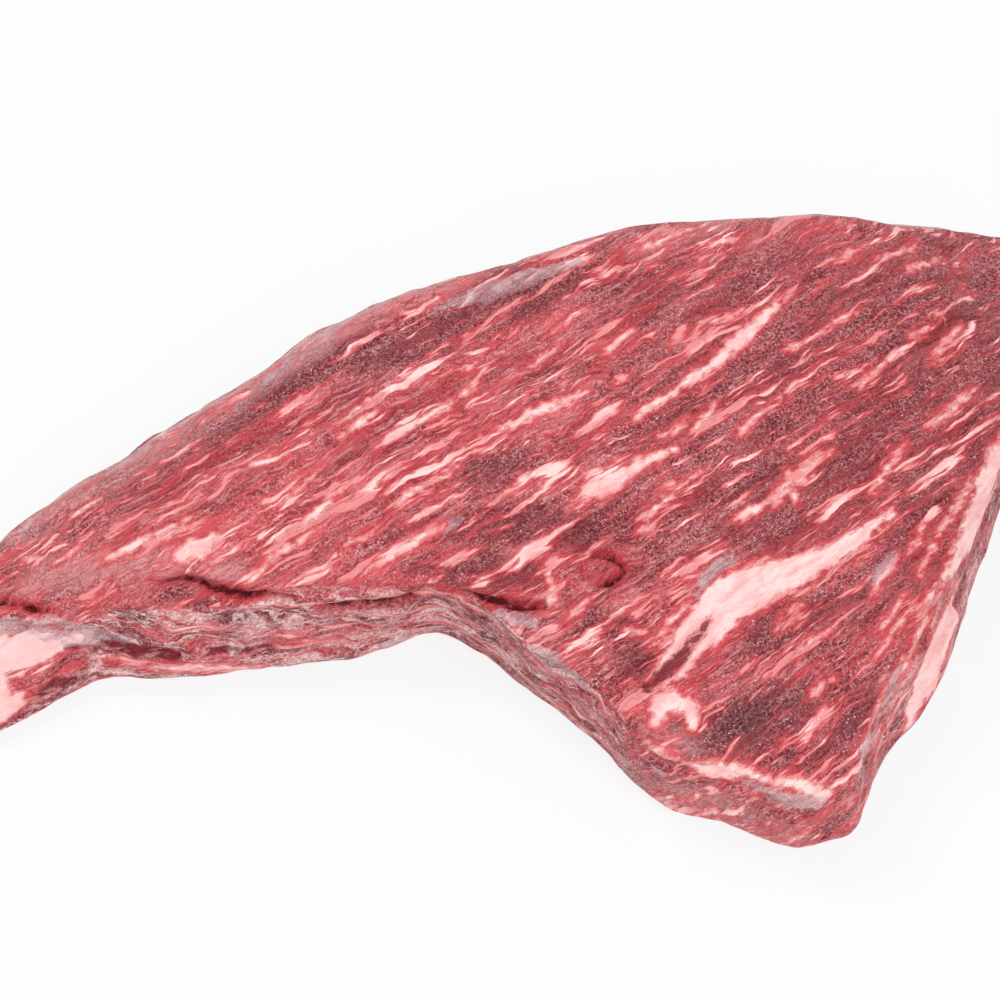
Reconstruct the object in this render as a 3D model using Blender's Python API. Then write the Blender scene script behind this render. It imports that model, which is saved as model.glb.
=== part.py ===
"""Raw beef tri-tip: one piece of meat that lies on a table with its cut face up.

Run with: blender --background --python part.py
The meat is one closed solid in metres, +Z up, with the origin under the middle of its box.
It is built from its plan outline: a grid makes the cut face, its border is let down ring by ring
to make the sides, and one flat face closes the underside.
"""

import math

import bmesh
import bpy
import numpy as np
from mathutils import Vector, noise

MM = 0.001

# The plan outline at its widest, in millimetres, as seen from above with the thin tail on the left.
# Front edge: from the tail's fat lobe past the notch to the broad corner and up the right side.
FRONT_EDGE = [
    (-152, -56), (-144, -61), (-127, -52), (-110, -42.5), (-90, -42.5), (-72, -41), (-55, -38.5),
    (-42, -36.5), (-29, -33), (-18, -29), (-3, -38), (8, -48.5), (19, -56.5), (29, -66), (38, -75),
    (46, -81), (60, -85), (70, -89), (79, -92.8), (88, -89.6), (95, -88.5), (97.7, -80), (104, -66.5),
    (112, -57.5), (121, -42), (127, -27), (133, -10), (141, 13), (153, 41),
]
RIGHT_END = [(162, 58), (165, 68), (160, 77)]
# Back edge, from the right end to the tail.
BACK_EDGE = [
    (149, 87.5), (131, 89), (113, 88.5), (103, 89.5), (91, 91.5), (78, 91.5), (57, 90), (34, 87.5),
    (25, 85), (11, 80), (-14, 72.5), (-36, 66), (-56, 54), (-71, 41.5), (-84, 34), (-98, 25.5),
    (-110, 15), (-123, 6.5), (-137, -2.5),
]
LEFT_END = [(-149, -14), (-156, -28), (-158, -43)]

# How far the rim of the cut face lies inside the widest line: share of the front edge, millimetres.
FRONT_LEAN = [(0.0, 14), (0.07, 20), (0.14, 12), (0.24, 9), (0.31, -2), (0.36, -3), (0.42, 0),
              (0.53, 4), (0.64, 5), (0.74, 9), (0.86, 11), (0.94, 7), (1.0, 6)]
# The fullest share of the meat's width that the insets of the front or the back may take.
WIDTH_SHARE = 0.30
BACK_LEAN = 0.0
END_LEAN = 4.0

# Height of the rim: share of the edge from the tail to the right end, millimetres.
FRONT_HEIGHT = [(0.0, 21), (0.07, 31), (0.16, 38), (0.35, 42), (0.46, 41), (0.57, 37), (0.66, 38),
                (0.73, 42), (0.82, 46), (0.92, 44), (1.0, 33)]
BACK_HEIGHT = [(0.0, 21), (0.12, 33), (0.35, 38), (0.6, 41), (0.88, 42), (1.0, 32)]
CROWN = [(0.0, 3), (0.2, 5), (0.45, 8), (0.7, 9), (0.9, 6), (1.0, 3)]

# Roundings: radius inward in millimetres, and the share of the height that it takes up.
FRONT_SHOULDER = (3.5, 0.14)
BACK_SHOULDER = (15.0, 0.55)
END_SHOULDER = (15.0, 0.55)
FOOT_TUCK = (7.0, 0.24)
NOTCH_TUCK = (13.0, 0.42)
NOTCH_FROM, NOTCH_TO = 0.29, 0.52

# The mesh: cells along and across the cut face, and rings down the sides.
ALONG = 86
ACROSS = 33
FRONT_CROWDING = 1.2
RINGS = 12
SPLINE_STEPS = 24

# The grain of the cut face: it runs up to the right and turns steeper towards the right side.
GRAIN_ANGLE = math.radians(34)
GRAIN_TURN = 0.14
GRAIN_TURN_FROM = -40.0
GRAIN_TURN_OVER = 55.0
RIDGE_LENGTH = 46.0
RIDGE_WIDTH = 9.0
RIDGE_DEPTH = 1.2
SWELL_SIZE = 55.0
SWELL_DEPTH = 1.6
SIDE_FOLD_HEIGHT = 8.0
SIDE_FOLD_LENGTH = 40.0
SIDE_FOLD_DEPTH = 1.5
FINE_FOLD_SHARE = 0.4
FINE_FOLD_SCALE = 2.3
# Where the noise fields of the swells and of the ridges are cut, so that the two differ.
SWELL_FIELD = 3.7
RIDGE_FIELD = 8.1
# How fast an oval dent fades outward, and how fast relief grows from the table up.
OVAL_FADE = 1.2
FOOT_RELIEF_RISE = 4.0

# The seam where the upper muscle ends over the front flank, as a groove along these plan points.
SEAM = [(-128, -28), (-104, -27), (-78, -28), (-52, -33), (-30, -35), (-10, -34), (10, -37)]
SEAM_DEPTH = 2.4
SEAM_HALF_WIDTH = 3.2
# The slit in the large fat seam and the scooped cut near the notch: place, half sizes, turn, depth.
HOLLOWS = [
    ((56, -49), (15.0, 4.5), 50, 1.8),
    ((27, -22), (8.0, 6.5), 10, 1.8),
    ((8, -36), (12.0, 4.5), -8, 1.8),
    ((-132, -36), (11.0, 3.5), 10, 1.6),
]
# Raised fat: the large seam, the fat on the tail and the flap over the notch.
SWELLINGS = [
    ((72, -33), (27.0, 8.0), 42, 1.6),
    ((-130, -44), (15.0, 8.0), 8, 1.8),
    ((2, -30), (16.0, 4.5), 8, 1.4),
    ((122, -38), (17.0, 4.0), 63, 1.2),
]

MEAT_COLOUR = (0.42, 0.085, 0.10, 1.0)
MEAT_ROUGHNESS = 0.45


def clear_scene():
    for old in list(bpy.data.objects):
        bpy.data.objects.remove(old, do_unlink=True)


def profile(pairs, share):
    """Smooth value at a share of an edge, from (share, value) pairs."""
    for (low, first), (high, second) in zip(pairs, pairs[1:]):
        if share <= high:
            step = (share - low) / (high - low)
            return first + (second - first) * step * step * (3 - 2 * step)
    return pairs[-1][1]


def smooth_chains(chains):
    """The closed curve through all chains' points, cut back into one dense line for each chain.

    A chain runs from its own first point to the first point of the next one."""
    points = np.array([p for chain in chains for p in chain], float)
    count = len(points)
    step = np.linspace(0, 1, SPLINE_STEPS, endpoint=False)[:, None]
    spans = []
    for i in range(count):
        before, here, there, after = (points[(i + k) % count] for k in (-1, 0, 1, 2))
        spans.append(
            0.5
            * (
                2 * here
                + (there - before) * step
                + (2 * before - 5 * here + 4 * there - after) * step**2
                + (3 * here - before - 3 * there + after) * step**3
            )
        )
    lines, first = [], 0
    for chain in chains:
        last = first + len(chain)
        end = points[last % count][None, :]
        lines.append(np.vstack(spans[first:last] + [end]))
        first = last
    return lines


def along(line, share):
    """The point at a share of a line's length."""
    lengths = np.concatenate([[0], np.cumsum(np.linalg.norm(np.diff(line, axis=0), axis=1))])
    at = share * lengths[-1]
    return np.array([np.interp(at, lengths, line[:, 0]), np.interp(at, lengths, line[:, 1])])


class Outline:
    """The plan outline as four edges, and the patch of plan points between them."""

    def __init__(self):
        front, right, back, left = smooth_chains([FRONT_EDGE, RIGHT_END, BACK_EDGE, LEFT_END])
        self.front, self.right = front, right
        self.back, self.left = back[::-1], left[::-1]

    def point(self, a, b):
        """Plan point at share a from the tail to the right end and b from front to back."""
        front, back = along(self.front, a), along(self.back, a)
        left, right = along(self.left, b), along(self.right, b)
        corners = (
            (1 - a) * (1 - b) * self.front[0]
            + a * (1 - b) * self.front[-1]
            + (1 - a) * b * self.back[0]
            + a * b * self.back[-1]
        )
        return (1 - b) * front + b * back + (1 - a) * left + a * right - corners

    def width(self, a):
        return np.linalg.norm(along(self.back, a) - along(self.front, a))

    def length(self):
        return np.linalg.norm(along(self.right, 0.5) - along(self.left, 0.5))


def rounding(share, radius, reach):
    """Inset of a quarter round that begins reach below the end, at a share of the way to it."""
    begun = min(max((share - (1 - reach)) / reach, 0.0), 1.0)
    return radius * (1 - math.sqrt(1 - begun * begun))


def inset(level, lean, shoulder, tuck=FOOT_TUCK):
    """How far the side lies inside the widest line at a level, 0 at the table and 1 at the rim."""
    slope = max(0.0, (level - tuck[1]) / (1 - tuck[1]))
    return lean * slope + rounding(level, *shoulder) + rounding(1 - level, *tuck)


def notch_tuck(a):
    """The foot's rounding on the front, deeper along the notch where the meat hangs over."""
    share = min(max((a - NOTCH_FROM) / (NOTCH_TO - NOTCH_FROM), 0.0), 1.0)
    swell = math.sin(math.pi * share) ** 2
    return tuple(foot + swell * (notch - foot) for foot, notch in zip(FOOT_TUCK, NOTCH_TUCK))


def held_back(share):
    """An inset as a share of the width, eased off so that it never passes WIDTH_SHARE."""
    return share / (1 + abs(share / WIDTH_SHARE) ** 4) ** 0.25


def plan_place(outline, a, b, level):
    """Plan point of a grid corner once its ring is drawn in for its level."""
    width, length = outline.width(a), outline.length()
    front = held_back(inset(level, profile(FRONT_LEAN, a), FRONT_SHOULDER, notch_tuck(a)) / width)
    back = held_back(inset(level, BACK_LEAN, BACK_SHOULDER) / width)
    end = inset(level, END_LEAN, END_SHOULDER) / length
    return outline.point(end + a * (1 - 2 * end), front + b * (1 - front - back))


def rim_height(a, b):
    """Height of the cut face without its relief."""
    ease = b * b * (3 - 2 * b)
    height = profile(FRONT_HEIGHT, a) * (1 - ease) + profile(BACK_HEIGHT, a) * ease
    return height + profile(CROWN, a) * 4 * b * (1 - b)


def grain_place(x, y):
    """Distances along and across the grain at a plan point."""
    u = x * math.cos(GRAIN_ANGLE) + y * math.sin(GRAIN_ANGLE)
    v = y * math.cos(GRAIN_ANGLE) - x * math.sin(GRAIN_ANGLE)
    turned = min(max((GRAIN_TURN_FROM - v) / GRAIN_TURN_OVER, 0.0), 1.0)
    return u, v - GRAIN_TURN * max(u, 0.0) * turned * turned * (3 - 2 * turned)


def oval(x, y, centre, half_sizes, turn, depth):
    """A soft oval dent or swelling: depth at its centre, nothing past its rim."""
    angle = math.radians(turn)
    dx, dy = x - centre[0], y - centre[1]
    across = (dy * math.cos(angle) - dx * math.sin(angle)) / half_sizes[1]
    length = (dx * math.cos(angle) + dy * math.sin(angle)) / half_sizes[0]
    return depth * math.exp(-OVAL_FADE * (across * across + length * length))


def seam_distance(x, y):
    """Distance in plan from the seam at the end of the upper muscle."""
    nearest = math.inf
    for start, end in zip(SEAM, SEAM[1:]):
        run = Vector(end) - Vector(start)
        share = min(max((Vector((x, y)) - Vector(start)).dot(run) / run.length_squared, 0.0), 1.0)
        nearest = min(nearest, (Vector((x, y)) - Vector(start) - run * share).length)
    return nearest


def top_relief(x, y):
    """Relief of the cut face: swells, ridges along the grain, the seam, hollows and raised fat."""
    u, v = grain_place(x, y)
    relief = SWELL_DEPTH * noise.noise(Vector((x / SWELL_SIZE, y / SWELL_SIZE, SWELL_FIELD)))
    relief += RIDGE_DEPTH * noise.noise(Vector((u / RIDGE_LENGTH, v / RIDGE_WIDTH, RIDGE_FIELD)))
    relief -= SEAM_DEPTH * math.exp(-((seam_distance(x, y) / SEAM_HALF_WIDTH) ** 2))
    relief -= sum(oval(x, y, *hollow) for hollow in HOLLOWS)
    relief += sum(oval(x, y, *swelling) for swelling in SWELLINGS)
    return relief


def side_relief(x, y, z):
    """Relief of the sides: long folds that run level round the meat."""
    around = Vector((x / SIDE_FOLD_LENGTH, y / SIDE_FOLD_LENGTH, z / SIDE_FOLD_HEIGHT))
    finer = FINE_FOLD_SHARE * noise.noise(around * FINE_FOLD_SCALE)
    return SIDE_FOLD_DEPTH * (noise.noise(around) + finer)


def meat_mesh():
    """The solid's mesh: a grid, its border let down as rings, and a flat face under it."""
    bm = bmesh.new()
    bmesh.ops.create_grid(bm, x_segments=ALONG, y_segments=ACROSS, size=0.5)
    place = {v: (v.co.x + 0.5, (v.co.y + 0.5) ** FRONT_CROWDING, 0) for v in bm.verts}
    border = [e for e in bm.edges if e.is_boundary]
    for ring in range(1, RINGS + 1):
        above = {v for e in border for v in e.verts}
        grown = bmesh.ops.extrude_edge_only(bm, edges=border)["geom"]
        border = [g for g in grown if isinstance(g, bmesh.types.BMEdge)]
        below = {v for e in border for v in e.verts}
        for v in below:
            upper = next(e.other_vert(v) for e in v.link_edges if e.other_vert(v) in above)
            a, b, _ = place[upper]
            place[v] = (a, b, ring)
    bmesh.ops.holes_fill(bm, edges=border)

    outline = Outline()
    for v, (a, b, ring) in place.items():
        level = (1 + math.cos(math.pi * ring / RINGS)) / 2
        x, y = plan_place(outline, a, b, level)
        v.co = Vector((x, y, rim_height(a, b) * level))
    bmesh.ops.recalc_face_normals(bm, faces=bm.faces)
    bm.normal_update()

    moves = {}
    for v, (_, _, ring) in place.items():
        level = (1 + math.cos(math.pi * ring / RINGS)) / 2
        side = 1 - v.normal.z**2
        relief = top_relief(v.co.x, v.co.y) * (1 - side) + side_relief(*v.co) * side
        away = Vector((v.normal.x, v.normal.y, max(v.normal.z, 0.0)))
        moves[v] = away * relief * min(1.0, FOOT_RELIEF_RISE * level)
    for v, move in moves.items():
        v.co += move

    low = Vector([min(v.co[i] for v in bm.verts) for i in range(3)])
    high = Vector([max(v.co[i] for v in bm.verts) for i in range(3)])
    middle = Vector(((low.x + high.x) / 2, (low.y + high.y) / 2, low.z))
    bmesh.ops.translate(bm, verts=bm.verts, vec=-middle)
    bmesh.ops.scale(bm, verts=bm.verts, vec=(MM, MM, MM))
    bmesh.ops.triangulate(bm, faces=bm.faces)
    bmesh.ops.recalc_face_normals(bm, faces=bm.faces)
    mesh = bpy.data.meshes.new("tri_tip")
    bm.to_mesh(mesh)
    bm.free()
    mesh.shade_smooth()
    return mesh


def meat_material():
    material = bpy.data.materials.new("raw_beef")
    material.use_nodes = True
    shader = material.node_tree.nodes["Principled BSDF"]
    shader.inputs["Base Color"].default_value = MEAT_COLOUR
    shader.inputs["Roughness"].default_value = MEAT_ROUGHNESS
    shader.inputs["Metallic"].default_value = 0.0
    return material


def main():
    clear_scene()
    mesh = meat_mesh()
    mesh.materials.append(meat_material())
    meat = bpy.data.objects.new("tri_tip", mesh)
    bpy.context.scene.collection.objects.link(meat)


main()
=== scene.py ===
import math

import bmesh
import bpy
import numpy as np
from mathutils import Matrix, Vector, noise


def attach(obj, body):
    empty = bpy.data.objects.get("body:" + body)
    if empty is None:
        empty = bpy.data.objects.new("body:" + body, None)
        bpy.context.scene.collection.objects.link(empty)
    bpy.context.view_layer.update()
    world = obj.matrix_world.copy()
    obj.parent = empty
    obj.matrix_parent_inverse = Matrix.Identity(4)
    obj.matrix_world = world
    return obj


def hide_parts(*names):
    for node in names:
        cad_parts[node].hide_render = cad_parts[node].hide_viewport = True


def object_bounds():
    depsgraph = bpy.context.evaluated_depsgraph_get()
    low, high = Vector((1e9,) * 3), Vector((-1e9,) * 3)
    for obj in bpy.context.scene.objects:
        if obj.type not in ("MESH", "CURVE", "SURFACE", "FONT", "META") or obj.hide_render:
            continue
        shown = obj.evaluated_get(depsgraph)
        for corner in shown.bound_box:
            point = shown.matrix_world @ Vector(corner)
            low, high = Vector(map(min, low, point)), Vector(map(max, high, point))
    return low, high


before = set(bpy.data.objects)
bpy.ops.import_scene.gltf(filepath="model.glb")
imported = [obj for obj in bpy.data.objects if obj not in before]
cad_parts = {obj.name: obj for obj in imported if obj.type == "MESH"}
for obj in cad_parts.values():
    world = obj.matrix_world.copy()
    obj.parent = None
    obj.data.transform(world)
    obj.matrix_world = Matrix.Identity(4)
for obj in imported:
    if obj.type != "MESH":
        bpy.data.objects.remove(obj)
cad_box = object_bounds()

# Places on the meat are in millimetres from the frame's origin, and MM turns them into metres.
MM = 0.001
TINY = 0.001 * MM

# The camera looks down on the meat from the front, from as far off as the photograph's view.
CAMERA_AIM = Vector((-4.0, 1.1, 30.0))
CAMERA_DISTANCE = 950.0
CAMERA_ELEVATION = math.radians(65)
VIEW_WIDTH = 275.0
SENSOR_WIDTH = 36.0
CAMERA_CLIP = 0.01

# The skin is remade in cells of this size, in metres, and smoothed. The flat underside gets
# coarser cells.
SKIN_CELL = 0.00096
UNDERSIDE_CELL = 0.006
SMOOTHINGS = 3
FACING_DOWN = -0.99

# The grain runs up to the right across the cut face and turns steeper by the broad corner.
GRAIN_ANGLE = math.radians(34)
GRAIN_TURN = 0.14
GRAIN_TURN_FROM = -40.0
GRAIN_TURN_OVER = 55.0
GRAIN_DIP = 0.4

# Fat seams on the cut face: the two ends and the width.
FAT_SEAMS = [
    # Tail side
    ((-112, -20), (-88, -10), 2.8), ((-92, -21), (-79, -15), 5.5), ((-59, -13), (-45, -2), 2.8),
    ((-74, -28), (-53, -13), 2.1), ((-72, 6), (-62, 9), 2.8), ((-123, -5), (-114, 1), 2.4),
    ((-125, -19), (-116, -13), 1.9), ((-66, -8), (-52, 5), 1.6), ((-136, -15), (-129, -16), 1.6),
    ((-39, -24), (-19, -14), 3.0), ((-48, 17), (-39, 26), 1.4), ((-47, 13), (-37, 23), 1.6),
    ((-64, 23), (-58, 29), 1.7), ((-99, -17), (-84, -11), 1.9), ((-47, -18), (-37, -14), 1.4),
    # Middle
    ((-15, 24), (-7, 35), 1.9), ((10, 45), (19, 53), 1.5), ((53, 47), (63, 52), 1.8),
    ((-38, 10), (-15, 24), 3.4), ((-6, 13), (21, 27), 3.4), ((-34, -9), (-15, 3), 1.6),
    ((17, -6), (34, 3), 5.5), ((29, 1), (43, 8), 3.4), ((33, -12), (50, 1), 1.5),
    ((33, -16), (38, -12), 1.7), ((0, -2), (11, 3), 1.8), ((-16, 34), (-11, 36), 2.0),
    ((4, 35), (16, 42), 1.6), ((24, 38), (33, 45), 1.6), ((28, 28), (31, 31), 1.9),
    ((33, 18), (47, 28), 2.8), ((46, 27), (56, 37), 3.4), ((49, 14), (55, 22), 1.9),
    # Towards the broad end
    ((35, 73), (46, 79), 2.4), ((46, 79), (57, 86), 2.4), ((54, 73), (63, 77), 1.7),
    ((116, 37), (124, 45), 1.5), ((98, -2), (106, 9), 1.4), ((96, -6), (99, 1), 1.7),
    ((51, 31), (77, 57), 3.8), ((91, 67), (98, 73), 1.9), ((101, 67), (114, 77), 2.0),
    ((109, 63), (122, 73), 2.0), ((79, 39), (94, 50), 1.6), ((75, 37), (79, 39), 1.6),
    ((60, 12), (75, 23), 1.3), ((109, 41), (114, 45), 1.6), ((112, 13), (125, 26), 2.0),
    ((114, 33), (118, 38), 1.6), ((76, 0), (86, 6), 2.3), ((59, -13), (70, -7), 2.9),
    ((69, -7), (80, -1), 1.5), ((73, 1), (76, -9), 1.3), ((93, 25), (101, 33), 1.5),
    # Round the large seam and the notch
    ((69, -44), (77, -36), 1.5), ((77, -62), (85, -56), 1.6), ((75, -50), (84, -44), 1.4),
    ((80, -69), (82, -64), 1.2),
    ((13, -41), (19, -36), 1.6), ((17, -48), (22, -46), 2.0), ((29, -44), (35, -44), 1.6),
    ((95, -35), (102, -22), 2.3), ((36, -48), (47, -35), 1.8), ((69, -5), (79, -3), 1.6),
    ((74, -4), (70, -10), 1.2), ((108, -28), (118, -9), 1.7), ((96, -51), (107, -36), 1.5),
    ((104, -24), (112, -12), 1.3), ((97, -44), (104, -34), 1.2), ((39, 12), (47, 17), 1.8),
]

# Strands are chains of points on the cut face, each (x, y, half width).
LARGE_SEAM = [
    (37, -58, 1.4), (42, -53, 3.8), (49, -44, 5.2), (56, -36, 6.6), (65, -32, 6.3), (74, -28.5, 4.5),
    (84, -24, 3.0), (92, -19, 2.5), (101, -12, 1.3),
]
RIM_FAT = [
    [(33, -73, 1.2), (38, -77, 2.3), (43, -79, 1.3)],
    [(45, -80, 2.0), (50, -81, 3.2), (55, -80.5, 3.0), (60, -81, 1.6), (64, -82, 0.9)],
    [(62, -82, 0.9), (70, -84, 1.6), (77, -85, 1.8), (82, -86, 2.2), (82.5, -88.5, 1.6)],
    [(37, -68, 2.0), (38, -64, 3.0), (42, -62, 3.2), (46, -64, 2.6), (47, -69, 1.4)],
]
FLAP_EDGE = [(6, -37, 0.7), (10, -35, 1.2), (10, -31, 0.9), (8, -27, 0.5)]

# The slit in the large seam, and thin cracks near the back edge
SLITS = [
    [(52, -41, 0.3), (49, -45, 0.8), (45, -50, 1.5), (40, -55, 1.7), (35, -59, 0.9)],
    [(-44, 52, -0.5), (-36, 55.5, 0.1), (-28, 58.5, 0.3), (-20, 61, -0.4)],
    [(-77, 30, -0.6), (-68, 32, -0.2), (-58, 34, -0.6)],
]
# Crevices along the front edge of the tail and round into the hollow
CREVICES = [
    [(-141, -27, 0.5), (-131, -30, 0.8), (-124, -31, 0.1)],
    [(-99, -25, -0.3), (-91, -25, 0.4), (-85, -26, 0.7), (-79, -28, 1.0), (-73, -30, 1.1), (-68, -29, 0.4),
     (-60, -30, -0.4)],
    [(-54, -31, 0.2), (-45, -31, 0.9), (-36, -31.5, 1.2), (-31, -32, 1.3), (-25, -31.5, 1.2),
     (-19, -31, 0.9), (-15, -32, 1.2), (-10, -33.5, 1.2)],
    [(-8, -34, 1.2), (-3, -35, 1.0), (3, -36, 0.6), (8, -36, 0.4)],
]

# The torn knob and the ring round it, which the sides stay clear of, and pits as (x, y, radius)
KNOB = (23, -26)
KNOB_RADIUS = 4.6
KNOB_OFF_SIDES = 9.0
PITS = [(67, -6, 1.3), (-8, -22, 1.0), (88, -84, 2.2), (84, -81, 1.3), (27, -49, 1.2)]

# Thin grey film on the cut face
SILVERSKIN = [
    [(-146, -33, 1.4), (-138, -34, 2.4), (-130, -35, 2.8), (-122, -36, 2.2), (-114, -36.5, 1.0)],
    [(-128, -32, 0.7), (-121, -33.5, 1.9), (-113, -35.5, 2.0), (-105, -37, 0.9)],
    [(-4, -38, 1.2), (0, -40, 2.0), (5, -42, 1.6)],
    [(3, -47, 1.0), (10, -51, 3.0), (17, -56, 1.8)],
    [(-22, 56, 1.0), (-10, 60, 2.8), (4, 65, 3.2), (18, 69, 1.4)],
    [(-77, 27, 0.6), (-67, 37, 1.6), (-51, 48, 1.0)],
    [(-19, -17, 0.4), (-16, -14, 1.3), (-14, -12, 0.4)],
    [(48, -35, 0.8), (51, -30, 1.6), (55, -26, 1.9), (59, -24, 0.8)],
    [(95, -32, 0.7), (98, -27, 1.7), (101, -22, 0.9)],
]

# Patches of the cut face: near black stains, and dark, faded and fresh lean; two dark strands are painted
# shade
STAINS = [
    [(53, -72, 1.5), (60, -69, 4.0), (67, -66, 4.5), (75, -62, 2.0)],
    [(81, -74, 1.5), (88, -70, 3.5)],
    [(-9, -23, 0.6), (-7, -21, 1.2)],
]
DARK_PATCHES = [
    [(52, -71, 8.0), (74, -65, 8.0), (92, -63, 6.0)],
    [(55, -7, 1.6), (76, 5, 2.0)],
    [(96, 7, 2.5), (108, 21, 3.0)],
    # Darker lean along the back rim: partly its own tone, partly painted shade where the rim turns away
    [(-110, 2, 3.0), (-84, 21, 5.0), (-52, 39, 6.0), (-25, 45, 8.0), (3, 56, 6.0), (18, 63, 4.0)],
    [(-14, -16, 4.0), (4, -13, 6.0), (18, -17, 4.0)],
    [(-28, -25, 1.0), (-8, -27, 4.5), (6, -29, 3.0)],
    [(-26, -4, 1.0), (-4, 1, 4.5), (16, 7, 2.5)],
    [(64, -46, 3.0), (78, -40, 5.0), (90, -34, 3.0)],
    [(66, -77, 2.0), (78, -78, 4.0), (88, -78, 3.0)],
    [(16, -38, 2.0), (28, -45, 4.0), (35, -55, 2.0)],
    # Painted shade below the lip of the crevice at the tail's front edge
    [(-92, -29, 1.5), (-76, -32, 2.0)],
]
FADED_PATCHES = [
    [(-137, -5, 5.0), (-115, 7, 6.0), (-100, 16, 6.0), (-87, 25, 5.0), (-70, 36, 5.0), (-56, 46, 5.0),
     (-42, 56, 4.0), (-26, 63, 4.0), (-10, 68, 2.0)],
    [(-132, -22, 4.0), (-112, -21, 5.0), (-90, -22, 3.0), (-74, -25, 2.0)],
    [(36, -70, 2.5), (48, -76, 1.5)],
    [(34, 74, 2.0), (58, 84, 4.0), (75, 88, 3.0)],
]
BRIGHT_PATCHES = [
    [(-52, -27, 2.0), (-30, -28, 3.0), (-5, -29, 3.0), (8, -33, 2.0)],
    [(18, -23, 4.0), (28, -23, 3.5)],
    [(-30, 1, 3.0), (2, 17, 4.0)],
    [(80, -17, 3.0), (96, -7, 3.0)],
    [(104, -45, 2.5), (114, -31, 2.5), (124, -9, 2.5), (134, 15, 2.5), (148, 45, 2.0)],
]

# Strands on the sides, each point (x, y, z, half width), and first the pink fat on the tail.
TAIL_FAT = [
    [(-150, -45, 22, 6.0), (-138, -42, 24, 6.5), (-126, -39, 22, 5.0), (-119, -38, 20, 3.0)],
    [(-150, -47, 18, 5.5), (-142, -48, 17, 4.5), (-142, -54, 12, 5.5), (-135, -51, 12, 2.2)],
]
SIDE_FAT = [
    # The white line low on the front
    [(-104, -43, 13, 1.6), (-96, -43, 12, 2.2), (-84, -42, 10, 2.4), (-70, -41, 8, 1.6)],
    # The pale band low on the broad end's side, the white band under its rim, and thin strands
    [(105.5, -60.5, 12, 0.8), (107.5, -57, 14.5, 2.2), (109.5, -52.5, 19, 6.3), (112.5, -46, 22, 10.5),
     (115, -41, 26, 12.0), (116, -38, 27, 11.5)],
    [(113, -32, 43, 0.7), (116.5, -27, 43, 1.8), (120.5, -18.5, 40.5, 4.8), (124.5, -9, 36.5, 8.5),
     (128, -1, 34.5, 9.0), (131, 7.5, 36, 7.5), (140, 27, 33, 6.0), (150, 46, 30, 3.0)],
    [(109, -39, 43, 0.6), (112, -33, 44, 0.9)],
    [(117, -12, 46, 0.6), (121, -4, 44.5, 1.5), (127, 3, 42, 1.9), (132, 12, 40, 1.2)],
    [(103, -56, 35, 0.5), (105, -51, 40, 1.0), (108, -44, 42, 1.0), (111, -38, 43, 0.6)],
    [(90, -77, 37, 0.3), (95, -67, 36, 0.8), (99, -58, 38, 0.7), (104, -50, 41, 0.4)],
    [(94, -80, 19, 0.3), (98, -68, 21, 0.9), (103, -59, 27, 0.5)],
    [(90, -86, 24, 0.3), (95, -78, 25, 0.9), (98, -70, 28, 0.8), (103, -59, 34, 0.4)],
    [(88, -88, 14, 0.3), (96, -80, 12, 0.9), (100, -71, 14, 0.4)],
    # Short streaks on the cut side
    [(61, -84.5, 3, 0.5), (64, -85, 9, 1.3), (67, -86, 15, 0.5)],
    [(69, -88.5, 5, 0.5), (73, -90, 10, 1.4), (77, -91, 15, 0.5)],
    [(72, -88, 21, 0.4), (75, -87, 26, 1.0)],
    [(46, -81.5, 13, 0.4), (48, -82, 17, 1.1), (50, -82, 21, 0.4)],
    [(49, -82.5, 7, 0.4), (53, -83, 13, 1.1)],
    [(55, -83.3, 8, 0.9), (59, -84, 12, 0.5)],
    [(83.5, -89, 30, 1.4), (82.3, -90, 22, 1.2), (77.7, -91, 16.5, 0.7)],
    [(38, -77, 6, 0.5), (41, -79, 11, 1.2), (43, -79.5, 15, 0.4)],
    # Patches on the back
    [(-60, 53, 20, 2.0), (-30, 67, 22, 4.0), (4, 79, 18, 3.0)],
    [(40, 87, 24, 3.0), (70, 90, 20, 5.0), (100, 89, 22, 3.5)],
    [(-112, 11, 14, 2.5), (-92, 25, 12, 3.0)],
]

# Grey film, and dark, brown, paler and hollow lean on the sides, with painted shade in the hollows
SIDE_SILVER = [
    [(-130, -34, 27, 1.0), (-120, -36, 24, 1.6), (-110, -37, 22, 0.8)],
    [(-81, -36, 30, 1.0), (-78, -37, 27, 2.0), (-73, -37, 24, 1.4)],
    [(-38, -35, 8, 1.6), (-29, -32, 10, 2.0), (-20, -30, 14, 1.4)],
    [(-112, 11, 30, 2.0), (-70, 43, 32, 3.0), (-30, 67, 34, 3.0)],
    [(10, 79, 34, 2.5), (60, 89, 32, 3.5), (120, 85, 30, 3.0)],
    [(34, -74, 25, 1.0), (40, -77.5, 27, 1.5)],
    [(61, -82.5, 34, 1.0), (68, -85, 33, 2.6), (76, -87, 32, 2.8), (82, -88, 31, 2.0)],
    [(-137, -4, 22, 0.6), (-115, 11, 26, 1.3), (-88, 29, 29, 1.1), (-60, 48, 32, 1.4), (-45, 57, 32, 0.5)],
    [(102.5, -52, 40, 1.0), (100.5, -57.5, 36, 1.8), (98.5, -61, 34, 1.0)],
    [(94, -69, 33, 1.6), (92.5, -73, 34.5, 2.0), (91, -77, 35.5, 0.8)],
]
SIDE_LEAN = [
    # Lean on the tail's front, and a thin line of it on the broad end's side
    [(-118, -40, 19, 3.5), (-106, -40, 19, 4.5), (-96, -40, 18, 3.0)],
    [(-135, -51, 12, 1.5), (-120, -44, 12, 2.5)],
    [(113, -35, 42, 0.4), (109.5, -44, 38, 0.8), (106.5, -52, 33, 0.7), (104, -57, 28, 0.6)],
]
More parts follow.
